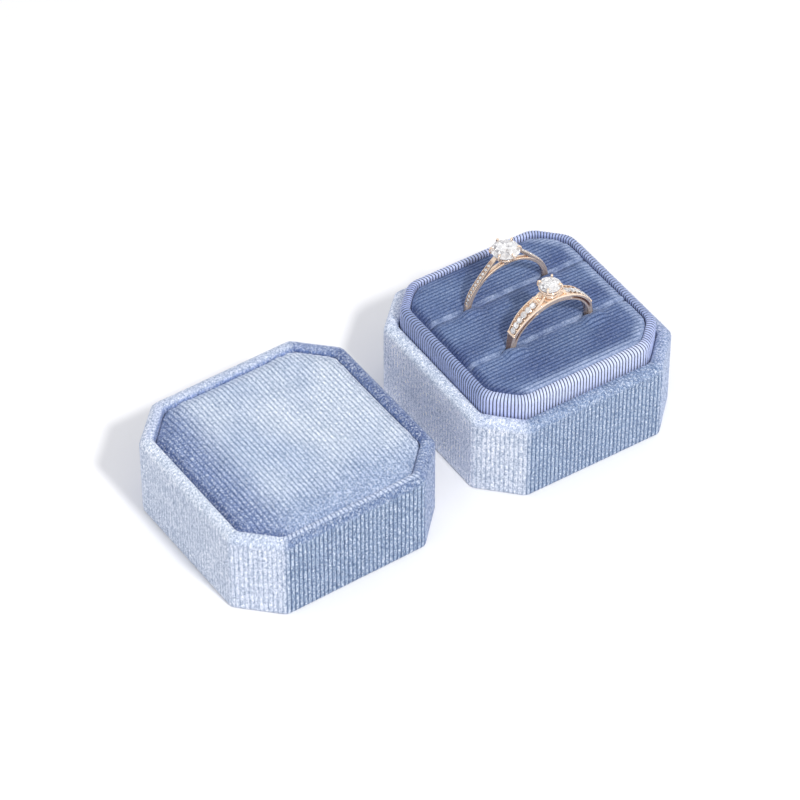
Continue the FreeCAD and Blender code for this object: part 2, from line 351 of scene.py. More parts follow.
class Outline:
    """Columns round the octagon, with a whole number of ribs on each side."""

    def __init__(self, pitch, inset=0.0, per_rib=PER_WALE, soft=0.9):
        ends = corners(inset)
        sides, places, phases = [], [], []
        for side in range(8):
            length = np.linalg.norm(ends[(side + 1) % 8] - ends[side])
            ribs = round(length / pitch)
            t = np.arange(ribs * per_rib) / (ribs * per_rib)
            sides.append(np.full(len(t), side))
            places.append(t)
            phases.append(t * ribs)
        self.side, self.t = np.concatenate(sides), np.concatenate(places)
        self.ridge = rib_wave(np.concatenate(phases))
        self.soft = soft

    def bend(self, corner, inward, outward, w):
        """Points on the rounding of a corner, between its two sides' directions."""
        first, last = corner - inward * self.soft, corner + outward * self.soft
        return (1 - w) ** 2 * first + 2 * w * (1 - w) * corner + w ** 2 * last

    def at(self, inset):
        """Each column's place and outward direction at an inset."""
        ends = corners(inset)
        before, start, stop, after = (ends[(self.side + k) % 8] for k in (-1, 0, 1, 2))
        run, last, following = unit(stop - start), unit(start - before), unit(after - stop)
        length = np.linalg.norm(stop - start, axis=1)
        near, far = self.t * length, (1 - self.t) * length
        place = start + run * near[:, None]
        w_near = np.clip(0.5 + 0.5 * near / self.soft, 0, 1)[:, None]
        w_far = np.clip(0.5 - 0.5 * far / self.soft, 0, 1)[:, None]
        place = np.where(w_near < 1, self.bend(start, last, run, w_near), place)
        place = np.where(w_far > 0, self.bend(stop, run, following, w_far), place)
        heading = unit(blend(blend(last, run, w_near), following, w_far))
        return place, np.stack([heading[:, 1], -heading[:, 0]], axis=1)


def section(points, step, first=1):
    """A path through (inset, height, radius) corners, rounded and divided into rows a step
    apart. The rows of its first stretch are that many times as far apart."""
    path = []
    for i, (x, z, radius) in enumerate(points):
        here = np.array([x, z], float)
        if radius == 0:
            path.append(here)
            continue
        last, following = np.array(points[i - 1][:2], float), np.array(points[i + 1][:2], float)
        a = (last - here) / np.linalg.norm(last - here)
        b = (following - here) / np.linalg.norm(following - here)
        turns = max(4, int(1.6 * radius / step) + 2)
        for angle in np.linspace(0, 1, turns) * math.pi / 2:
            path.append(here + a * radius * (1 - math.sin(angle)) + b * radius * (1 - math.cos(angle)))
    rows = [path[0]]
    for i in range(1, len(path)):
        gap = np.linalg.norm(path[i] - path[i - 1])
        pitch = step * first if i == 1 else step
        pieces = max(1, int(round(gap / pitch)))
        for k in range(1, pieces + 1):
            rows.append(path[i - 1] + (path[i] - path[i - 1]) * k / pieces)
    return np.array(rows)


def sweep(outline, shown, hidden, height, strengths):
    """A closed skin round the octagon: the shown rows carry ribs, the hidden ones are plain.
    height(inset, z) gives a shown row's rib height and how strongly its ribs show, and
    strengths how strongly they show on each side."""
    rows = np.concatenate([shown, hidden])
    slope = np.roll(rows, -1, axis=0) - np.roll(rows, 1, axis=0)
    slope[0], slope[len(shown) - 1] = rows[1] - rows[0], shown[-1] - shown[-2]
    slope = unit(slope)
    columns = len(outline.t)
    ribs = PLAIN + (outline.ridge - PLAIN) * by_side(outline.at(0.0)[1], strengths)[:, 0]
    verts = np.zeros((len(rows), columns, 3))
    ridge = np.zeros((len(rows), columns))
    for i, (inset, z) in enumerate(rows):
        place, out = outline.at(inset)
        lift = np.zeros(columns)
        if i < len(shown):
            rise, show = height(inset, z)
            ridge[i] = PLAIN + (ribs - PLAIN) * show
            lift = rise * (ridge[i] - LEVEL) + rng.normal(0, FUZZ, columns)
        verts[i, :, :2] = place + out * (slope[i, 1] * lift)[:, None]
        verts[i, :, 2] = z + slope[i, 0] * lift
    return verts.reshape(-1, 3), quads(len(rows), columns), ridge.ravel(), rows


# ---- painted light and shade: each side of the velvet gets its own lit or shaded tone ----
def tones(*colours):
    """The eight sides' tones, each lit or shaded by painted light, anticlockwise from the one that faces
    +X.
    """
    return [linear(*c) for c in colours]


# painted light and shade: each side's wall, rim and crest in its own lit or shaded copy of the velvet's
# colour
LID_PAINTED_LIGHT = {
    "wall": tones((116, 134, 172), (136, 152, 190), (150, 166, 200), (176, 188, 216),
                  (190, 201, 221), (188, 198, 218), (122, 141, 171), (118, 136, 174)),
    "rim": tones((98, 116, 157), (150, 164, 198), (186, 196, 216), (192, 202, 222),
                 (196, 206, 223), (182, 194, 216), (98, 118, 155), (108, 126, 164)),
    "crest": tones((85, 103, 147), (122, 138, 176), (176, 188, 212), (180, 191, 216),
                   (198, 208, 225), (190, 201, 222), (168, 182, 210), (120, 138, 176))}
BASE_RIM_PAINTED_LIGHT = tones((142, 156, 190), (160, 174, 206), (190, 200, 222), (200, 210, 230),
                       (199, 210, 228), (190, 201, 224), (118, 138, 172), (140, 156, 190))
BASE_PAINTED_LIGHT = {
    "wall": tones((128, 146, 186), (140, 156, 192), (150, 166, 200), (176, 188, 216),
                  (226, 233, 249), (192, 201, 218), (124, 143, 173), (146, 162, 194)),
    "rim": BASE_RIM_PAINTED_LIGHT,
    "crest": BASE_RIM_PAINTED_LIGHT}
# painted light and shade along the inner side of each rim, where it meets the panel or the collar
INNER_PAINTED_LIGHT = tones((84, 106, 156), (92, 114, 164), (130, 150, 194), (120, 140, 186),
                    (84, 106, 156), (120, 140, 186), (160, 178, 212), (110, 132, 180))
# each side of the ribbon, and its top, in its own painted light or shade
RIBBON_PAINTED_LIGHT = tones((114, 126, 172), (142, 152, 192), (164, 174, 208), (160, 170, 206),
                     (146, 159, 198), (166, 175, 210), (174, 183, 212), (146, 158, 198))
RIBBON_TOP_PAINTED_LIGHT = tones((133, 146, 182), (138, 150, 188), (164, 174, 208), (140, 152, 194),
                         (122, 136, 174), (164, 175, 208), (174, 183, 212), (150, 162, 200))
# how strongly the ribs show on each side, and along the inner side of each rim, in relief and in painted
# groove shade; the sides differ partly to stand in for how light falls on them
RIB_STRENGTH = (0.8, 0.7, 0.4, 0.4, 0.25, 0.45, 1.2, 0.85)
RIBBON_STRENGTH = (0.8, 0.9, 1.05, 1.05, 1.0, 1.05, 1.1, 1.0)
LID_CREST = (0.1, 0.1, 0.25, 0.3, 0.5, 0.6, 1.0, 0.4)
BASE_CREST = (0.1, 0.1, 0.1, 0.1, 0.15, 0.15, 0.2, 0.1)


def by_side(out, values):
    """Values of the eight sides, blended round the corners by the outward direction."""
    turn = np.degrees(np.arctan2(out[:, 1], out[:, 0])) / 45.0 % 8
    low = np.floor(turn).astype(int) % 8
    share = (turn - np.floor(turn))[:, None]
    values = np.reshape(values, (8, -1))
    return blend(values[low], values[(low + 1) % 8], share)


def wall_painted_light(outline, rows, top, inner, side_tones):
    """The velvet's colour with painted light and shade at each row and column of a cover: each side's wall,
    rim and crest in its own lit or shaded tone, and painted light or shade where the rim's inner side ends.
    The crest runs along the rim's inner side, and inner is where that side ends."""
    out = outline.at(0.0)[1]
    wall, rim, crest = (by_side(out, side_tones[key]) for key in ("wall", "rim", "crest"))
    # painted light or shade along the rim's inner side, for each side
    edge = by_side(out, INNER_PAINTED_LIGHT)
    colours = []
    for inset, z in rows:
        tone = blend(wall, rim, smooth(z, top - 2.0, top - 1.0))
        tone = blend(tone, crest, smooth(inset, inner - 1.9, inner - 1.5))
        colours.append(blend(tone, edge, smooth(inset, inner - 0.35, inner - 0.02)))
    return np.concatenate(colours)


# ---- covers ----
def velvet_skin(shown, hidden, top, inner, crest, side_tones):
    """A cover's skin, ribs, and colour with painted light and shade. The ribs flatten at the floor, and the
    pile hides them where it bends over the rim. Crest is how much they show again along the rim's inner
    side."""
    outline = Outline(WALE)
    crest_show = by_side(outline.at(0.0)[1], crest)[:, 0]

    def height(inset, z):
        again = crest_show * smooth(inset, inner - 1.8, inner - 1.3)
        bent = smooth(z, top - 2.4, top - 1.4) * (1 - again)
        return WALE_H * float(smooth(z, 0.2, 1)), 1 - 0.85 * bent
    verts, faces, ridge, rows = sweep(outline, section(shown, COVER_STEP, first=6),
                                      np.array(hidden), height, RIB_STRENGTH)
    verts[:, 2] = np.maximum(verts[:, 2], 0)       # it stands flat
    return verts, faces, dict(nap=wall_painted_light(outline, rows, top, inner, side_tones), ridge=ridge)


def base_cover():
    top, inner = BASE_HIGH[2], RIBBON_OUT - 0.08
    board_top = 18.6
    tuck, under = 12.5, 4.0     # the height where it ends behind the collar, and its width underneath
    shown = [(under, 0.0, 0), (0.0, 0.0, 0.5), (0.0, top, 1.5), (inner, top, 0.95), (inner, tuck, 0)]
    hidden = [(inner - TURNED_IN, tuck), (WALL_IN, board_top), (COVER_IN, board_top),
              (COVER_IN, TURNED_IN), (under, TURNED_IN)]
    verts, faces, layers = velvet_skin(shown, hidden, top, inner, BASE_CREST, BASE_PAINTED_LIGHT)
    obj = make_object("base_velvet", verts, faces, VELVET, **layers)
    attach(obj, "base")
    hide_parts("base_velvet_cover")


def lid_cover():
    top, inner = LID_HIGH[2], RIM_WIDTH
    floor = cad("lid_top_board")[1][2]
    board_top = 19.1
    tuck, mouth = 6.0, WALL_IN + TURNED_IN      # it is turned up inside the mouth to this height
    shown = [(mouth, tuck, 0), (mouth, 0.0, 0.5), (0.0, 0.0, 0.6), (0.0, top, 1.7),
             (inner, top, 1.0), (inner, floor, 0)]
    hidden = [(WALL_IN, floor), (WALL_IN, board_top), (COVER_IN, board_top),
              (COVER_IN, TURNED_IN), (WALL_IN, TURNED_IN), (WALL_IN, tuck)]
    verts, faces, layers = velvet_skin(shown, hidden, top, inner, LID_CREST, LID_PAINTED_LIGHT)
    obj = make_object("lid_velvet", on_lid(verts), faces, VELVET, **layers)
    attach(obj, "lid")
    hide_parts("lid_velvet_cover")


def collar_cover():
    low, top = RIBBON_LOW[2], RIBBON_HIGH[2]
    turn_in, under, skin = top - 5.0, top - 0.9, 0.35
    outline = Outline(RIB, RIBBON_OUT, soft=COLLAR_SOFT)
    shown = section([(RIBBON_OUT, low, 0), (RIBBON_OUT, top, 1.4), (RIBBON_IN, top, 0.42),
                     (RIBBON_IN, turn_in, 0)], 0.3)
    hidden = np.array([(RIBBON_IN - skin, turn_in), (RIBBON_IN - skin, under),
                       (RIBBON_OUT + skin, under), (RIBBON_OUT + skin, low)])
    verts, faces, ridge, rows = sweep(outline, shown, hidden, lambda inset, z: (RIB_H, 1.0),
                                      RIBBON_STRENGTH)
    out = outline.at(RIBBON_OUT)[1]
    # painted light and shade: each side of the ribbon, and its top band, in its own lit or shaded tone
    face, band = by_side(out, RIBBON_PAINTED_LIGHT), by_side(out, RIBBON_TOP_PAINTED_LIGHT)
    nap = np.concatenate([blend(face, band, smooth(z, top - 1.4, top - 0.6)) for z in rows[:, 1]])
    obj = make_object("collar_grosgrain", verts, faces, RIBBON, nap=nap, ridge=ridge)
    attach(obj, "base")
    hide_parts("collar_ribbon")


def collar_board():
    """The card ring under the ribbon, its corners eased like the ribbon's."""
    low, high = cad("collar_board")
    out, inside, top = RIBBON_OUT + 0.4, RIBBON_IN - 0.4, high[2] - 0.1
    rows = section([(out, low[2], 0), (out, top, 1.05), (inside, top, 0.3), (inside, low[2], 0)], 0.8)
    outline = Outline(2.0, RIBBON_OUT, per_rib=4, soft=COLLAR_SOFT)
    verts, faces, _, _ = sweep(outline, rows, np.zeros((0, 2)), lambda inset, z: (0.0, 0.0), [1] * 8)
    obj = make_object("collar_card", verts, faces, BOARD)
    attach(obj, "base")
    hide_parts("collar_board")


base_cover()
lid_cover()
collar_cover()
collar_board()


# ---- padded pieces ----
def coordinates(mesh):
    flat = np.empty(len(mesh.vertices) * 3)
    mesh.vertices.foreach_get("co", flat)
    return flat.reshape(-1, 3)


def swell(obj, held_below, pressure):
    """The object's vertices after it is blown up as cloth, held below a height."""
    start = coordinates(obj.data)
    held = obj.vertex_groups.new(name="held")
    held.add([i for i, z in enumerate(start[:, 2]) if z < held_below], 1.0, "REPLACE")
    cloth = obj.modifiers.new("cloth", "CLOTH")
    cloth.settings.vertex_group_mass = "held"
    cloth.settings.use_pressure = True
    cloth.settings.uniform_pressure_force = pressure
    cloth.settings.effector_weights.gravity = 0
    cloth.settings.tension_stiffness = 30
    cloth.settings.compression_stiffness = 30
    for step in range(1, 21):
        bpy.context.scene.frame_set(step)
    depsgraph = bpy.context.evaluated_depsgraph_get()
    moved = coordinates(obj.evaluated_get(depsgraph).to_mesh())
    obj.evaluated_get(depsgraph).to_mesh_clear()
    bpy.context.scene.frame_set(1)
    return moved


def blow_up(name, loop, low, high, pressure, cap, voxel):
    """A block over an outline, swollen as cloth with its underside held still.
    Returns a finder that gives the height of the swollen top above any points."""
    big = 20.0                      # cloth behaves best at about a metre
    count = len(loop)
    corner_rows = [(x * MM * big, y * MM * big, z * MM * big) for z in (low, high) for x, y in loop]
    walls = [(i, (i + 1) % count, count + (i + 1) % count, count + i) for i in range(count)]
    caps = [tuple(range(count, 2 * count)), tuple(range(count))[::-1]]
    mesh = bpy.data.meshes.new(name)
    mesh.from_pydata(corner_rows, [], walls + caps)
    obj = bpy.data.objects.new(name, mesh)
    bpy.context.scene.collection.objects.link(obj)
    remesh = obj.modifiers.new("remesh", "REMESH")
    remesh.mode, remesh.voxel_size = "VOXEL", voxel * MM * big
    depsgraph = bpy.context.evaluated_depsgraph_get()
    coarse = bpy.data.meshes.new_from_object(obj.evaluated_get(depsgraph))
    obj.modifiers.clear()
    obj.data = coarse
    start = moved = coordinates(coarse)
    moved = swell(obj, (low + 0.4 * (high - low)) * MM * big, pressure)
    shift = moved - start
    length = np.linalg.norm(shift, axis=1)
    most = cap * MM * big
    shift *= np.minimum(1, most / np.maximum(length, 1e-9))[:, None]
    points = (start + shift) / (MM * big)
    tree = BVHTree.FromPolygons([Vector(p) for p in points], [tuple(p.vertices) for p in coarse.polygons])
    bpy.data.objects.remove(obj)

    def height(x, y):
        hit = tree.ray_cast(Vector((x, y, high + 20)), Vector((0, 0, -1)))[0]
        return hit.z if hit else high
    return np.vectorize(height, otypes=[float])


def half_width(v, inset):
    """How far the octagon reaches along u at v."""
    half, short = spans(inset)
    return np.minimum(half, half + short - np.abs(v))


def soften(u, v, inset, sharpness):
    """Pull points near the octagon's corners inward, so that its corners are round."""
    reaches = (HALF - inset, chamfer_reach(inset))
    gauges = []
    for k in range(8):
        angle = k * math.pi / 4
        gauge = (u * math.cos(angle) + v * math.sin(angle)) / reaches[k % 2]
        gauges.append(np.clip(gauge, 1e-6, None))
    gauges = np.array(gauges)
    hard = gauges.max(axis=0)
    soft = hard * (np.sum((gauges / hard) ** sharpness, axis=0)) ** (1 / sharpness)
    return u * hard / soft, v * hard / soft


PAD_CORNER, PANEL_CORNER = 34.0, 60.0       # how sharply the pads' and the panel's corners turn
SEAM = 0.5                      # how far in front of a ring's middle its slot's seam lies
SHUT = 0.06                     # gap on each side of a seam where the slot is shut


def near_legs(away, slit, fade):
    """One where a ring's legs pass through a slot, falling to nothing on both sides of them."""
    return smooth(away, slit["inside"] - fade, slit["inside"]) * (
        1 - smooth(away, slit["outside"], slit["outside"] + fade))


def slit_gap(u, slit, front, pocket=False):
    """How far a pad stands back from a slot's seam: nearly shut, but open round a ring's two
    legs, and all the way between them in the pocket below. The seam lies a little in front of
    the ring, so the pad behind it is pushed back further."""
    if slit is None:
        return np.zeros_like(u)
    away = np.abs(u - slit["centre"])
    side = -SEAM if front else SEAM
    if pocket:
        share = 1 - smooth(away, slit["reach"], slit["reach"] + 0.5)
        return SHUT + (slit["pocket"] + side - SHUT) * share
    return SHUT + (slit["leg"] + side - SHUT) * near_legs(away, slit, 1.1)


def outward(loop):
    """The outward direction along a closed loop, evened out over a few points."""
    run = unit(np.roll(loop, -1, axis=0) - np.roll(loop, 1, axis=0))
    kernel = np.array([1, 2, 3, 2, 1]) / 9.0
    run = unit(sum(np.roll(run, k - 2, axis=0) * w for k, w in enumerate(kernel)))
    return np.stack([run[:, 1], -run[:, 0]], axis=1)


def skirt_rows(edge, lip, deep, step):
    """The rows that carry a pad's fabric down its sides: (distance out, fall, how far it has
    turned down, length of cloth since the top). Rows below the lip have no length."""
    turns = max(5, int(1.57 * edge / step) + 2)
    rows = []
    for k in range(1, turns + 1):
        angle = math.pi / 2 * k / turns
        rows.append((edge * math.sin(angle), edge * (1 - math.cos(angle)), angle, edge * angle))
    for fall in np.arange(edge + step, lip + 0.01, step):
        rows.append((edge, fall, math.pi / 2, edge * (math.pi / 2 - 1) + fall))
    for fall in (lip + 0.25, *np.linspace(lip + 1.0, deep, 4)):
        rows.append((edge, fall, math.pi / 2, None))
    return rows


def pad_plan(low, high, inset, edge, pitch, step, low_slit, high_slit, sharpness):
    """A grid over a pad's top: u, v and ridge at each point, and how far it is from the sides."""
    length = high - low
    flat = length - 2 * edge
    columns = int(2 * (HALF - inset) / step)
    ribs = int(round(flat / pitch))
    s, t = np.meshgrid(np.linspace(-1, 1, columns + 1), np.linspace(0, 1, ribs * PER_WALE + 1))
    v = low + edge + flat * t
    u = s * half_width(v, inset + edge)
    near_low, near_high = 1 - smooth(v, low, low + 3), smooth(v, high - 3, high)
    v = v + near_low * slit_gap(u, low_slit, False) - near_high * slit_gap(u, high_slit, True)
    u, v = soften(u, v, inset + edge, sharpness)
    inside = np.minimum.reduce([t * length, (1 - t) * length, (1 - np.abs(s)) * (HALF - inset)])
    return u, v, rib_wave((v - low - edge) * ribs / flat), inside


def pocket_along(loop, out, shape, low_slit, high_slit):
    """How much further than its lip a pad's side stands back from the ring's band, along the
    loop round a top with that many rows and columns."""
    rows, columns = shape[0] - 1, shape[1] - 1
    order = np.arange(len(loop))
    on_low = order <= columns
    on_high = (order >= columns + rows) & (order <= 2 * columns + rows)
    pocket = np.zeros(len(loop))
    for slit, chosen, front in ((low_slit, on_low, False), (high_slit, on_high, True)):
        back = slit_gap(loop[:, 0], slit, front, True) - slit_gap(loop[:, 0], slit, front)
        back = np.where(chosen & (np.abs(out[:, 1]) > 0.6), np.maximum(back, 0), 0)
        pocket += -back if front else back
    return pocket


def cushion(name, low, high, inset, top, bottom, edge, low_slit=None, high_slit=None,
            pitch=0.925, lip=2.5, step=0.33, rib=0.1, block=(0.15, 3.6), pressure=4.0, cap=0.35,
            voxel=1.1, sharpness=PANEL_CORNER, spread=0.5, dip=None):
    """A ribbed velvet pad in its own frame: ribs run along u, and low and high are its ends along v.
    Cloth simulation gives its crown; the fabric is draped over that and carried down the sides.
    Returns vertices, faces, ridges, and how near each vertex is to the rim."""
    u, v, ridge, inside = pad_plan(low, high, inset, edge, pitch, step, low_slit, high_slit, sharpness)
    index = np.arange(u.size).reshape(u.shape)
    around = np.concatenate([index[0, :-1], index[:-1, -1], index[-1, :0:-1], index[:0:-1, 0]])
    count = len(around)
    loop = np.stack([u.ravel()[around], v.ravel()[around]], axis=1)
    out = outward(loop)

    block_loop = (loop + out * (edge + spread))[::3]
    height = blow_up(name + "_block", block_loop, top - block[1], top - block[0], pressure, cap, voxel)
    z = height(u, v)
    for _ in range(12):             # even out the coarse block's facets
        inner = (z[:-2, 1:-1] + z[2:, 1:-1] + z[1:-1, :-2] + z[1:-1, 2:]) / 4
        z[1:-1, 1:-1] = 0.4 * z[1:-1, 1:-1] + 0.6 * inner
    if dip is not None:
        z = z - dip(u, v)
    if high_slit is not None:       # the near pad swells up against the ring's legs
        legs = near_legs(np.abs(u - high_slit["centre"]), high_slit, 2.4)
        z = z + high_slit["swell"] * legs * smooth(v, high - 4.0, high - 1.0)
    z = z + rng.normal(0, PAD_FUZZ, z.shape)
    surface = np.stack([u, v, z + rib * (ridge - LEVEL)], axis=2).reshape(-1, 3)
    verts, ridges, rim = [surface], [ridge.ravel()], [(1 - smooth(inside, 0.0, 1.3)).ravel()]

    base_z, ridge_at = z.ravel()[around], ridge.ravel()[around]
    along = out[:, 0] ** 2
    pocket = pocket_along(loop, out, u.shape, low_slit, high_slit)
    square = [index[:-1, :-1], index[:-1, 1:], index[1:, 1:], index[1:, :-1]]
    faces = [np.stack(square, axis=2).reshape(-1, 4)]
    last, offset = around, len(surface)
    for reach, fall, angle, cloth in skirt_rows(edge, lip, top - bottom, step):
        place = loop + out * reach
        here, lift = np.full(count, 0.5), np.zeros(count)
        if cloth is None:
            place[:, 1] += pocket
            level = np.full(count, top - fall)
        else:
            here = blend(rib_wave(cloth / pitch), ridge_at, along)
            lift = rib * (here - LEVEL) + rng.normal(0, SIDE_FUZZ, count)
            level = blend(base_z - fall, top - fall, max(0.0, (fall - edge) / (lip - edge)))
        place = place + out * (math.sin(angle) * lift)[:, None]
        verts.append(np.column_stack([place, level + math.cos(angle) * lift]))
        ridges.append(here)
        rim.append(np.full(count, np.clip(1 - (fall - edge), 0, 1)))
        this = offset + np.arange(count)
        faces.append(np.stack([this, np.roll(this, -1), np.roll(last, -1), last], axis=1))
        last, offset = this, offset + count
    faces = np.concatenate(faces).tolist() + [last[::-1].tolist()]
    verts, ridges, rim = np.concatenate(verts), np.concatenate(ridges), np.concatenate(rim)
    ridges = ridges + (LEVEL - ridges) * 0.55 * rim     # the pile hides the ribs where it bends
    return verts, faces, ridges, rim


def ring_place(name):
    """A ring's centre: its band is a full circle, so its lowest point gives the height."""
    low, high = cad(name + "_shank")
    outer = (high[0] - low[0]) / 2
    return np.array([(low[0] + high[0]) / 2, (low[1] + high[1]) / 2, low[2] + outer]), outer


SOLITAIRE, SOLITAIRE_OUT = ring_place("solitaire")
CHANNEL, CHANNEL_OUT = ring_place("channel")
BACK_SEAM, FRONT_SEAM = SOLITAIRE[1] - SEAM, CHANNEL[1] - SEAM
# the slots: gap round a ring's legs and in the pocket below, where the legs pass through,
# how far the pocket reaches, and how far the pad in front swells up against the legs
BACK_SLIT = dict(centre=SOLITAIRE[0], leg=0.55, pocket=1.1, inside=9.0, outside=10.5, reach=11.0, swell=0.9)
FRONT_SLIT = dict(centre=CHANNEL[0], leg=0.95, pocket=2.0, inside=8.8, outside=10.7, reach=11.3, swell=1.3)
PAD_DARK, PAD_MID = linear(74, 92, 136), linear(98, 118, 158)
PAD_PAINTED_HIGHLIGHT, PAD_PAINTED_SHADOW = linear(158, 174, 206), linear(52, 68, 116)
PANEL_PATCH_AND_PAINTED_LIGHT, PANEL_MID = linear(190, 201, 219), linear(163, 179, 206)
PANEL_PAINTED_LEFT_SHADE, PANEL_PAINTED_FRONT_SHADE, PANEL_PAINTED_EDGE_SHADOW = linear(107, 126, 168), linear(127, 147, 183), linear(64, 84, 134)


def pad_colour_and_painted_light(verts):
    """Dark blue in random patches, with a painted highlight along the lip of each pad behind a slot and at
    the outer front and right, and a painted shadow along the left.
    """
    x, y = verts[:, 0], verts[:, 1]
    half, reach = HALF - PAD_INSET, chamfer_reach(PAD_INSET)
    patch = (0.5 + 0.25 * np.sin(x * 0.35 + 1.1 * np.sin(y * 0.31))
             + 0.25 * np.sin(y * 0.55 + 0.7 * np.sin(x * 0.22 + 1)))
    colours = toward(PAD_DARK, PAD_MID, np.clip(patch, 0, 1))
    # painted highlight along the lip behind each slot
    lip_highlights = np.zeros(len(x))
    for seam in (BACK_SEAM, FRONT_SEAM):
        lip_highlights = np.maximum(lip_highlights, smooth(y - seam, 0.0, 0.1) * (1 - smooth(y - seam, 0.8, 1.7)))
    lip_highlights *= 0.65 + 0.35 * np.sin(x * 0.9 + 2.0 * np.sin(x * 0.37))
    right, front_right = half - x, reach - (x - y) / math.sqrt(2)
    front, back_right = half + y, reach - (x + y) / math.sqrt(2)
    outer = np.minimum.reduce([right, front, front_right, back_right])
    # painted highlight near the outer front and right edges
    light = np.maximum(0.52 * lip_highlights, 0.62 * (1 - smooth(outer, 0.9, 3.2)))
    colours = toward(colours, PAD_PAINTED_HIGHLIGHT, np.clip(light, 0, 1))
    # painted shadow of the collar along the left edge
    left = np.minimum(half + x, reach + (x + y) / math.sqrt(2))
    return toward(colours, PAD_PAINTED_SHADOW, 0.8 * (1 - smooth(left, 0.6, 2.6)))


def pads():
    half = HALF - PAD_INSET
    bottom = PAD_LOW[2] + 0.05
    layout = (("back", BACK_SEAM, half, BACK_SLIT, None),
              ("middle", FRONT_SEAM, BACK_SEAM, FRONT_SLIT, BACK_SLIT),
              ("front", -half, FRONT_SEAM, None, FRONT_SLIT))
    for place, low, high, low_slit, high_slit in layout:
        verts, faces, ridge, _ = cushion(
            "pad_" + place, low, high, PAD_INSET, PAD_HIGH[2], bottom, 0.42, low_slit, high_slit,
            pitch=0.885, sharpness=PAD_CORNER, dip=lambda u, v: 0.8 * (1 - smooth(u + half, 0.2, 2.4)))
        obj = make_object("pad_velvet_cover_" + place, verts, faces, PAD_VELVET,
                          nap=pad_colour_and_painted_light(verts), ridge=ridge)
        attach(obj, "base")
        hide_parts("pad_velvet_" + place, "pad_foam_" + place)


def panel_colour_and_painted_light(x, y):
    """Random patches and painted light towards the right, painted shade along the left and front, and a
    painted shadow along the left edge under the rim.
    """
    patch = 0.5 + 0.3 * np.sin(y * 0.21 + 1.4 * np.sin(x * 0.17)) + 0.2 * np.sin(x * 0.4 + np.sin(y * 0.3))
    # random patches, with painted light growing towards the right
    colours = toward(PANEL_MID, PANEL_PATCH_AND_PAINTED_LIGHT, np.clip(patch + 0.03 * x, 0, 1))
    # painted shade towards the front and the left
    colours = toward(colours, PANEL_PAINTED_FRONT_SHADE, smooth(-y, 9, 19) * 0.8)
    colours = toward(colours, PANEL_PAINTED_LEFT_SHADE, smooth(-x, 9, 18))
    # painted shadow along the left edge, under the rim
    left = np.minimum(HALF - RIM_WIDTH + x, chamfer_reach(RIM_WIDTH) + (x + y) / math.sqrt(2))
    return toward(colours, PANEL_PAINTED_EDGE_SHADOW, 0.9 * (1 - smooth(left, 0.6, 3.0)))


def lid_panel():
    low, high = cad("lid_top_pad_velvet")
    inset = RIM_WIDTH + 0.02
    half = HALF - inset
    verts, faces, ridge, _ = cushion(
        "lid_top_pad", -half, half, inset, high[2] + 0.25, low[2] + 0.02, 0.6,
        lip=2.4, rib=0.08, block=(0.6, 3.2), cap=0.6, voxel=1.4, spread=0.9,
        dip=lambda u, v: 1.5 * smooth(v, 10, 21) + 0.7 * smooth(-u, 12, 21))
    x, y = -verts[:, 1], verts[:, 0]        # its ribs run from front to back
    hidden = np.maximum(smooth(-y, 13.5, 19.5), 0.8 * smooth(-x, 15, 20.5))
    ridge = ridge + (PLAIN - ridge) * 0.8 * hidden  # the pile lies over the ribs along the front and left
    obj = make_object("lid_top_velvet", on_lid(np.column_stack([x, y, verts[:, 2]])), faces, PANEL_VELVET,
                      nap=panel_colour_and_painted_light(x, y), ridge=ridge)
    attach(obj, "lid")
    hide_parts("lid_top_pad_velvet", "lid_top_pad_foam")


def lid_ceiling():
    """The same kind of pad, upside down inside the lid."""
    low, high = cad("lid_ceiling_velvet")
    inset = HALF - (high[0] - low[0]) / 2 / math.cos(LID_TURN) + 0.05
    half = HALF - inset
    verts, faces, ridge, rim = cushion(
        "lid_ceiling", -half, half, inset, high[2], low[2], 0.2,
        lip=0.3, step=0.6, rib=0.05, block=(0.15, 4.0), pressure=1.0, cap=0.1, voxel=1.6)
    # darker towards its edges and down its sides
    nap = np.tile(PAD_MID, (len(verts), 1)) * (1 - 0.2 * rim)[:, None]
    verts[:, 2] = low[2] + high[2] - verts[:, 2]
    faces = [f[::-1] for f in faces]
    obj = make_object("lid_ceiling_cover", on_lid(verts), faces, PAD_VELVET, nap=nap, ridge=ridge)
    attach(obj, "lid")
    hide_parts("lid_ceiling_velvet")


pads()
lid_panel()
lid_ceiling()


# ---- plain CAD pieces that keep their shape ----
for kept, finish in (("base_wall_board", BOARD), ("base_floor_board", BOARD),
                     ("insert_tray_card", BOARD), ("lid_wall_board", BOARD), ("lid_top_board", BOARD),
                     ("base_underside_paper", FLOCK), ("lid_wall_lining", LINING)):
    for material_slot in bpy.data.objects[kept].material_slots:
        material_slot.material = finish


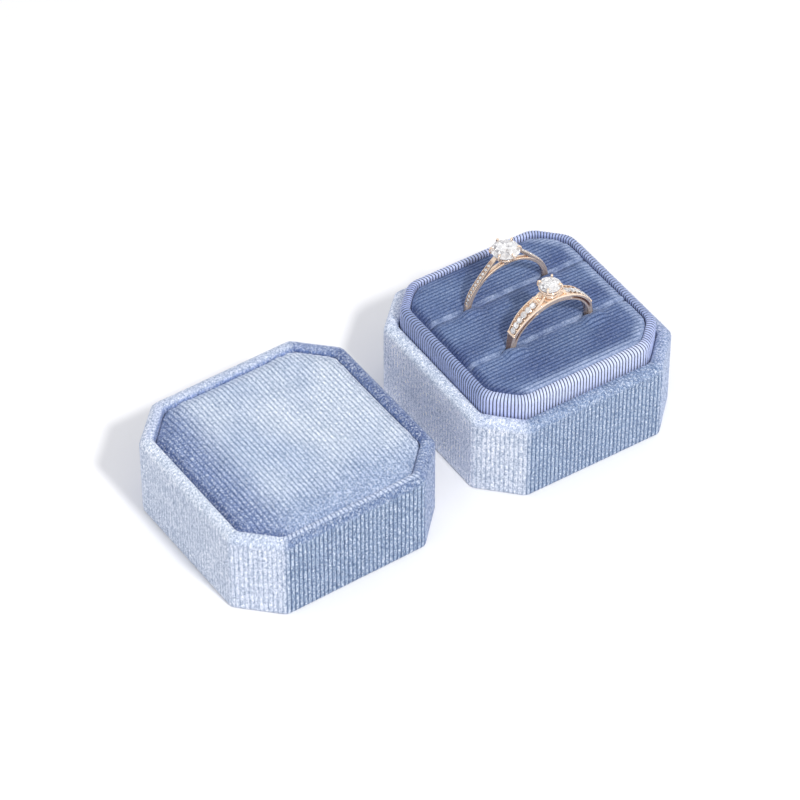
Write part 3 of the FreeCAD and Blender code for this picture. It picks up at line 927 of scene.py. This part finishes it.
# ---- rings ----
class Parts:
    """Vertices and faces gathered into one mesh, in a ring's own frame: the band circles
    the origin about Y, and the head is at the top."""

    def __init__(self):
        self.verts, self.faces, self.tones, self.count = [], [], [], 0

    def add(self, verts, faces, tone=1.0):
        verts = np.asarray(verts, float)
        self.verts.append(verts)
        self.faces += [[i + self.count for i in f] for f in faces]
        self.tones.append(np.resize(tone, len(verts)))
        self.count += len(verts)

    def grid(self, rows, closed=True, tone=1.0):
        """A skin over rows of points, each row closed on itself, its ends capped if it isn't closed.
        Its painted light values repeat along it if there are fewer than its points."""
        rows = np.asarray(rows, float)
        m, n = rows.shape[:2]
        faces = quads(m, n, closed)
        if not closed:
            faces += [list(range(n))[::-1], list(range((m - 1) * n, m * n))]
        self.add(rows.reshape(-1, 3), faces, tone)

    def rod(self, points, radii, sides=12):
        """A rod through points, with rounded ends."""
        points = np.asarray(points, float)
        radii = np.asarray(radii, float) * np.ones(len(points))
        run = unit(np.gradient(points, axis=0))
        helper = np.array([0.0, 1.0, 0.0]) if abs(run[0][1]) < 0.9 else np.array([1.0, 0.0, 0.0])
        stations = list(zip(points, run, radii))
        for end, sign in ((0, -1), (len(points) - 1, 1)):
            place, heading, radius = points[end], run[end], radii[end]
            for a in (1.2, 0.8, 0.25):
                tip = (place + sign * heading * radius * math.cos(a), heading, radius * math.sin(a))
                stations = [tip] + stations if sign < 0 else stations + [tip]
        rows = []
        angles = np.arange(sides) * 2 * math.pi / sides
        for place, heading, radius in stations:
            across = helper - heading * np.dot(helper, heading)
            across /= np.linalg.norm(across)
            helper = across
            up = np.cross(heading, across)
            rows.append([place + radius * (across * math.cos(a) + up * math.sin(a)) for a in angles])
        self.grid(rows, closed=False)

    def bead(self, place, radius):
        bm = bmesh.new()
        bmesh.ops.create_icosphere(bm, subdivisions=2, radius=radius)
        self.add([place + v.co for v in bm.verts], [[v.index for v in f.verts] for f in bm.faces])
        bm.free()

    def build(self, name, centre, lean, material, sharp):
        """The mesh in its place, its edges sharp above an angle, or all its facets flat if that is 0."""
        verts = turned(np.concatenate(self.verts), lean, 2, 0) + centre
        obj = make_object(name, verts, self.faces, material, tone=np.concatenate(self.tones))
        bm = bmesh.new()
        bm.from_mesh(obj.data)
        bmesh.ops.recalc_face_normals(bm, faces=bm.faces)
        bm.to_mesh(obj.data)
        bm.free()
        if sharp:
            obj.data.set_sharp_from_angle(angle=math.radians(sharp))
        else:
            obj.data.polygons.foreach_set("use_smooth", [False] * len(obj.data.polygons))
        return obj


def polar(angle, radius, y=0.0):
    """A point at an angle from the head, in degrees."""
    a = math.radians(angle)
    return np.array([radius * math.sin(a), y, radius * math.cos(a)])


def brilliant(radius):
    """A round brilliant with its girdle on Z = 0: 33 crown and 24 pavilion facets."""
    crown, girdle, depth = 0.3 * radius, 0.03 * radius, 0.86 * radius
    verts = []
    for r, z, count, shift in ((0.56 * radius, girdle + crown, 8, 0.0),
                               (0.8 * radius, girdle + 0.56 * crown, 8, 0.5),
                               (radius, girdle, 16, 0.0),
                               (radius, -girdle, 16, 0.0),
                               (0.24 * radius, -girdle - 0.76 * depth, 8, 0.5)):
        for i in range(count):
            a = 2 * math.pi * (i + shift) / count
            verts.append((r * math.cos(a), r * math.sin(a), z))
    verts.append((0, 0, -girdle - depth))
    star, top, low, tip, culet = 8, 16, 32, 48, 56      # where each circle's vertices start
    faces = [list(range(8))]
    for i in range(8):
        j, h = (i + 1) % 8, (i - 1) % 8
        a, b, c = 2 * i, 2 * i + 1, (2 * i + 2) % 16
        faces += [[i, star + i, j], [i, star + h, top + a, star + i],
                  [star + i, top + a, top + b], [star + i, top + b, top + c],
                  [culet, tip + i, low + a, tip + h],
                  [tip + i, low + b, low + a], [tip + i, low + c, low + b]]
    faces += [[top + k, low + k, low + (k + 1) % 16, top + (k + 1) % 16] for k in range(16)]
    return np.array(verts), faces


def stone(parts, radius, place, angle=0.0, spin=0.0, fine=False):
    """A brilliant at a place, each facet with its own painted brightness, standing in for the light it
    catches. A fine one's table is cut into the star of pavilion facets that shows through it, and each of
    its facets is split into pieces of painted brightness that stand in for reflections of several others."""
    verts, faces = brilliant(radius)
    if fine:
        table, star = verts[:8], len(verts)
        middle = table.mean(axis=0)
        half_way = (table + np.roll(table, -1, axis=0)) / 4 + middle / 2
        verts = np.concatenate([verts, half_way, [middle]])
        faces = faces[1:]
        for i in range(8):
            here, last = star + i, star + (i - 1) % 8
            faces += [[i, (i + 1) % 8, here], [i, here, star + 8, last]]
    verts = turned(turned(verts, spin), angle, 2, 0) + place
    for face in faces:
        points = verts[face]
        pieces = [points]
        if fine:
            middle = points.mean(axis=0)
            pieces = [np.array([a, b, middle]) for a, b in zip(points, np.roll(points, -1, axis=0))]
        for piece in pieces:
            # painted brightness of each facet, standing in for the light it catches or misses
            painted_brightness = float(rng.uniform(0.0, 1.0)) ** 0.45
            parts.add(piece, [list(range(len(piece)))], painted_brightness)


def band(parts, section_at, steps):
    """A band swept round the finger: section_at(angle) gives half its section, as (radius, y, painted
    light) points from the inside to the outside."""
    rows, tone = [], []
    for k in range(steps):
        angle = 360.0 * k / steps - 180.0
        half = section_at(angle)
        whole = half + [(r, -y, painted_brightness) for r, y, painted_brightness in half[::-1]]
        rows.append([polar(angle, r, y) for r, y, _ in whole])
        tone.append([painted_brightness for _, _, painted_brightness in whole])
    parts.grid(rows, tone=tone)


def claws(parts, count, foot_r, foot_z, stone_r, girdle, over, rise, wire):
    """Claws that rise from the seat, pass the girdle and bend over the crown. Over is how far
    in their tips lie from the stone's edge, and rise how far above the girdle."""
    reach, tip_r, tip_z = stone_r + 0.16, stone_r - over, girdle + rise
    profile = [(foot_r, foot_z), (0.5 * (foot_r + reach), foot_z + 0.42 * (girdle - foot_z)),
               (reach - 0.02, girdle - 0.45), (reach, girdle + 0.1), (reach - 0.12, girdle + 0.5),
               (0.5 * (reach + tip_r) - 0.05, tip_z), (tip_r, tip_z + 0.02)]
    for k in range(count):
        angle = math.radians(360 / count * (k + 0.5))
        out = np.array([math.cos(angle), math.sin(angle), 0])
        knots = [out * r + np.array([0, 0, z]) for r, z in profile]
        fine = []
        for p0, p1, p2, p3 in zip(knots[:1] + knots, knots, knots[1:], knots[2:] + knots[-1:]):
            for t in np.linspace(0, 1, 5, endpoint=False):
                fine.append(0.5 * (2 * p1 + (p2 - p0) * t + (2 * p0 - 5 * p1 + 4 * p2 - p3) * t ** 2
                                   + (3 * p1 - p0 - 3 * p2 + p3) * t ** 3))
        fine.append(knots[-1])
        parts.rod(fine, wire * (0.86 + 0.2 * smooth(np.linspace(0, 1, len(fine)), 0.5, 0.85)))


def loop_wire(parts, radius, height, wire, wave=0.0, waves=0):
    """A round gallery wire, level or scalloped."""
    steps, sides = 72, 10
    up = np.array([0, 0, 1])
    rows = []
    for k in range(steps):
        a = 2 * math.pi * k / steps
        out = np.array([math.cos(a), math.sin(a), 0])
        centre = radius * out + (height + wave * math.cos(waves * a)) * up
        rows.append([centre + wire * (out * math.cos(b) + up * math.sin(b))
                     for b in np.arange(sides) * 2 * math.pi / sides])
    parts.grid(rows)


def finish_ring(prefix, centre, lean, shank, head, main, small):
    for suffix, name, parts, material, slot_name, sharp in (
            ("shank", "band", shank, GOLD, "rose_gold", 32),
            ("setting", "claws", head, GOLD, "rose_gold", 50),
            ("main_stone", "centre_brilliant", main, STONE, "clear_stone", 0),
            ("side_stones", "accent_brilliants", small, STONE, "clear_stone", 0)):
        obj = parts.build(prefix + "_" + name, centre, math.radians(lean), material, sharp)
        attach(obj, prefix + "_ring")
        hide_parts(prefix + "_" + suffix)


def solitaire():
    """A slim six-claw ring: bead-set shoulders lift off the band and carry the head."""
    inner, outer, half_w = 9.25, SOLITAIRE_OUT, 0.64
    stone_r, girdle, foot = 3.1, 13.0, 10.35
    start, stop = 74.0, 12.0                    # where a shoulder leaves the band, and where it ends
    first, last, count = 19.0, 76.0, 11         # the row of stones on it
    shank, head, main, small = Parts(), Parts(), Parts(), Parts()

    def section_at(angle):
        away = abs(angle)
        thin = 1 - smooth(away, 28, 46)         # the band is slimmer under the head
        w = half_w - 0.08 * thin
        lowered = 0.3 * (1 - smooth(away, 73, 78))      # room for the beaded stones
        out = outer - max(0.45 * thin, lowered)
        # painted shade: darker towards the legs near the pads, and at the band's inner edge and along its
        # sides
        painted_brightness = 1 - 0.35 * smooth(away, 58, 84)
        return [(inner, w - 0.18, 0.5), (inner + 0.1, w, 1.0), (inner + 0.28, w + 0.01, 0.85 * painted_brightness),
                (out - 0.4, w + 0.01, 0.85 * painted_brightness), (out - 0.26, w, 1.0), (out - 0.1, w * 0.86, 1.0),
                (out, w * 0.45, painted_brightness)]
    band(shank, section_at, 216)

    def centre_line(angle):
        return outer - 0.02 + 1.85 * np.clip((50 - angle) / 36.0, 0, 1.1) ** 2

    pitch = (last - first) / count
    for side in (-1, 1):
        rows, tone = [], []
        for angle in np.linspace(start + 6, stop, 64):
            top = centre_line(min(angle, start)) - 0.1 * smooth(angle, start, start + 6)
            w = 0.65 - 0.08 * (1 - smooth(angle, stop, 40))
            thick = 0.8 - 0.15 * (1 - smooth(angle, stop, 36))
            sunk = smooth(angle, 15, 18) * (1 - smooth(angle, 74, 78))
            cut, wall = 0.22 * sunk, 0.15
            over = [(top - thick, w - 0.12), (top - 0.25, w), (top - 0.04, w - 0.02), (top, w - 0.07),
                    (top - 0.02, w - wall), (top - cut, w - wall - 0.05)]
            under = [(r, -y) for r, y in over[::-1]]
            rows.append([polar(side * angle, r, y) for r, y in under[-1:] + over + under[:-1]])
            # painted shade under the shoulder and in the sunk seat of its stones
            floor, lip = 1 - 0.5 * sunk, 1 - 0.2 * sunk
            tone.append([0.6, 0.6, 0.85, 1, 1, lip, floor, floor, lip, 1, 1, 0.85])
        shank.grid(rows, closed=False, tone=tone)
        for k in range(count):
            angle = first + (last - first) * (k + 0.5) / count
            place = polar(side * angle, centre_line(angle) - 0.04)
            stone(small, 0.37, place, math.radians(side * angle), k * 0.7)
            between = angle + pitch / 2
            for y in (-0.36, 0.36):
                shank.bead(polar(side * between, centre_line(between) - 0.02, y), 0.1)

    head.rod([polar(0, foot - 0.55), polar(0, foot + 0.1)], [0.9, 0.75], 20)
    loop_wire(head, 1.25, foot + 0.35, 0.26)
    loop_wire(head, 2.3, girdle - 1.15, 0.18)
    claws(head, 6, 0.75, foot + 0.1, stone_r, girdle, 0.4, 0.72, 0.21)
    stone(main, stone_r, polar(0, girdle), spin=0.2, fine=True)
    finish_ring("solitaire", SOLITAIRE, -2.0, shank, head, main, small)


def channel():
    """A wider band with stones held between rails, end bars, side grooves and a four-claw basket."""
    inner, outer = 9.1, CHANNEL_OUT
    stone_r, girdle, foot = 2.4, 13.3, 10.75
    first, last, count = 20.0, 64.0, 6          # the row of stones in each channel
    seat, rail = 0.34, 0.3                      # the channel's depth, and the width of its rails
    shank, head, main, small = Parts(), Parts(), Parts(), Parts()

    def half_at(angle):
        return 1.02 + 0.68 * (1 - smooth(angle, 24, 92))

    def section_at(angle):
        away = abs(angle)
        w = half_at(away)
        deep = seat * smooth(away, first - 1.2, first) * (1 - smooth(away, last, last + 1.2))
        groove = 0.2 * smooth(away, 24, 32) * (1 - smooth(away, 66, 76))
        out = outer - 0.2 * smooth(away, last, last + 14)
        rounding = 0.1 + 0.26 * smooth(away, last, last + 20)
        # painted shade in the side groove, on the channel's floor, and towards the legs near the pads
        painted_groove_shade = 1 - 4.6 * groove
        floor = (1 - 0.3 * deep / seat) * (1 - 0.6 * smooth(away, last, last + 5))
        painted_brightness = 1 - 0.3 * smooth(away, 60, 84)
        return [(inner, w - 0.3, 0.6), (inner + 0.14, w, 0.9), (inner + 0.5, w, painted_brightness),
                (inner + 0.56, w - groove, painted_groove_shade), (inner + 0.9, w - groove, painted_groove_shade),
                (inner + 0.96, w, painted_brightness), (out - rounding - 0.06, w, painted_brightness),
                (out - 0.06, w - 0.5 * rounding, 1), (out, w - rounding, 1),
                (out, w - rail, painted_brightness), (out - deep, w - rail - 0.04, floor * painted_brightness)]
    band(shank, section_at, 300)

    pitch = (last - first) / count
    for side in (-1, 1):
        for k in range(count):
            angle = first + pitch * (k + 0.5)
            stone(small, 0.76, polar(side * angle, outer - 0.04), math.radians(side * angle), k * 0.9)
        for k in range(count + 1):
            angle = first + pitch * k
            for y in (-1, 1):
                shank.bead(polar(side * angle, outer - 0.06, y * (half_at(angle) - 0.5)), 0.2)
                shank.bead(polar(side * angle, outer - 0.02, y * 0.38), 0.13)
        for angle in (first - 2.6, last + 1.4):     # bars that close the channel's ends
            w = half_at(angle) - 0.2
            bar = [polar(side * angle, r, y) for r, y in ((outer, -w), (outer + 0.06, 0), (outer, w))]
            shank.rod(bar, [0.24, 0.26, 0.24], 10)

    head.rod([polar(0, foot - 0.5), polar(0, foot + 0.05)], [1.15, 0.95], 20)
    loop_wire(head, 1.45, foot + 0.3, 0.28)
    loop_wire(head, 1.95, girdle - 1.2, 0.24, 0.3, 4)
    loop_wire(head, 2.2, girdle - 0.62, 0.2)
    claws(head, 4, 1.0, foot + 0.1, stone_r, girdle, 0.35, 0.62, 0.23)
    for side in (-1, 1):                        # struts from the shoulders to the basket
        for y in (-0.85, 0.85):
            head.rod([polar(side * 24, outer - 0.4, y * 1.3), polar(side * 15, outer + 0.3, y * 1.15),
                      polar(side * 10, outer + 1.0, y)], [0.32, 0.26, 0.22])
    stone(main, stone_r, polar(0, girdle), spin=0.1, fine=True)
    finish_ring("channel", CHANNEL, -1.5, shank, head, main, small)


solitaire()
channel()


# ---- stage ----
def stage():
    n = Nodes("studio_floor")
    n.paint(n.scale((0.93, 0.93, 0.94), [n.remap(n.noise(3, 2), 0.3, 0.7, 0.985, 1.0)] * 3))
    n.set(Roughness=0.9, Specular_IOR_Level=0.1)
    far = 3000
    verts = [(-far, -far, 0), (far, -far, 0), (far, far, 0), (-far, far, 0)]
    floor = make_object("studio_floor", verts, [(0, 1, 2, 3)], n.material)


def place_at(name, data, location, facing):
    """An object at a place, with its -Z axis turned to face a way."""
    obj = bpy.data.objects.new(name, data)
    obj.location = location
    obj.rotation_euler = facing.to_track_quat("-Z", "Y").to_euler()
    bpy.context.scene.collection.objects.link(obj)
    return obj


def studio():
    """A small bright lamp at the front, and a pale world."""
    lamp = bpy.data.lights.new("key", "AREA")
    lamp.shape, lamp.size, lamp.energy, lamp.color = "DISK", 0.08, 3.2, (1.0, 0.99, 0.97)
    place = Vector((-0.03, -0.5, 0.6))
    place_at("key", lamp, place, Vector((-0.03, 0.0, 0.01)) - place)
    world = bpy.data.worlds.new("studio")
    world.use_nodes = True
    background = world.node_tree.nodes["Background"]
    background.inputs["Color"].default_value = (0.98, 0.98, 1.0, 1)
    background.inputs["Strength"].default_value = 0.85
    bpy.context.scene.world = world
    bpy.context.scene.view_settings.view_transform = "Standard"


def camera():
    """A long lens from the front left, looking down about 44 degrees."""
    azimuth, elevation, distance = math.radians(-33.04), math.radians(44.02), 0.8495
    aim = Vector((-0.02305, 0.01328, 0))
    back = Vector((math.sin(azimuth) * math.cos(elevation), -math.cos(azimuth) * math.cos(elevation),
                   math.sin(elevation)))
    lens = bpy.data.cameras.new("camera")
    lens.lens, lens.sensor_width, lens.clip_end = 180.7, 36, 20
    bpy.context.scene.camera = place_at("camera", lens, aim + back * distance, -back)


stage()
studio()
camera()
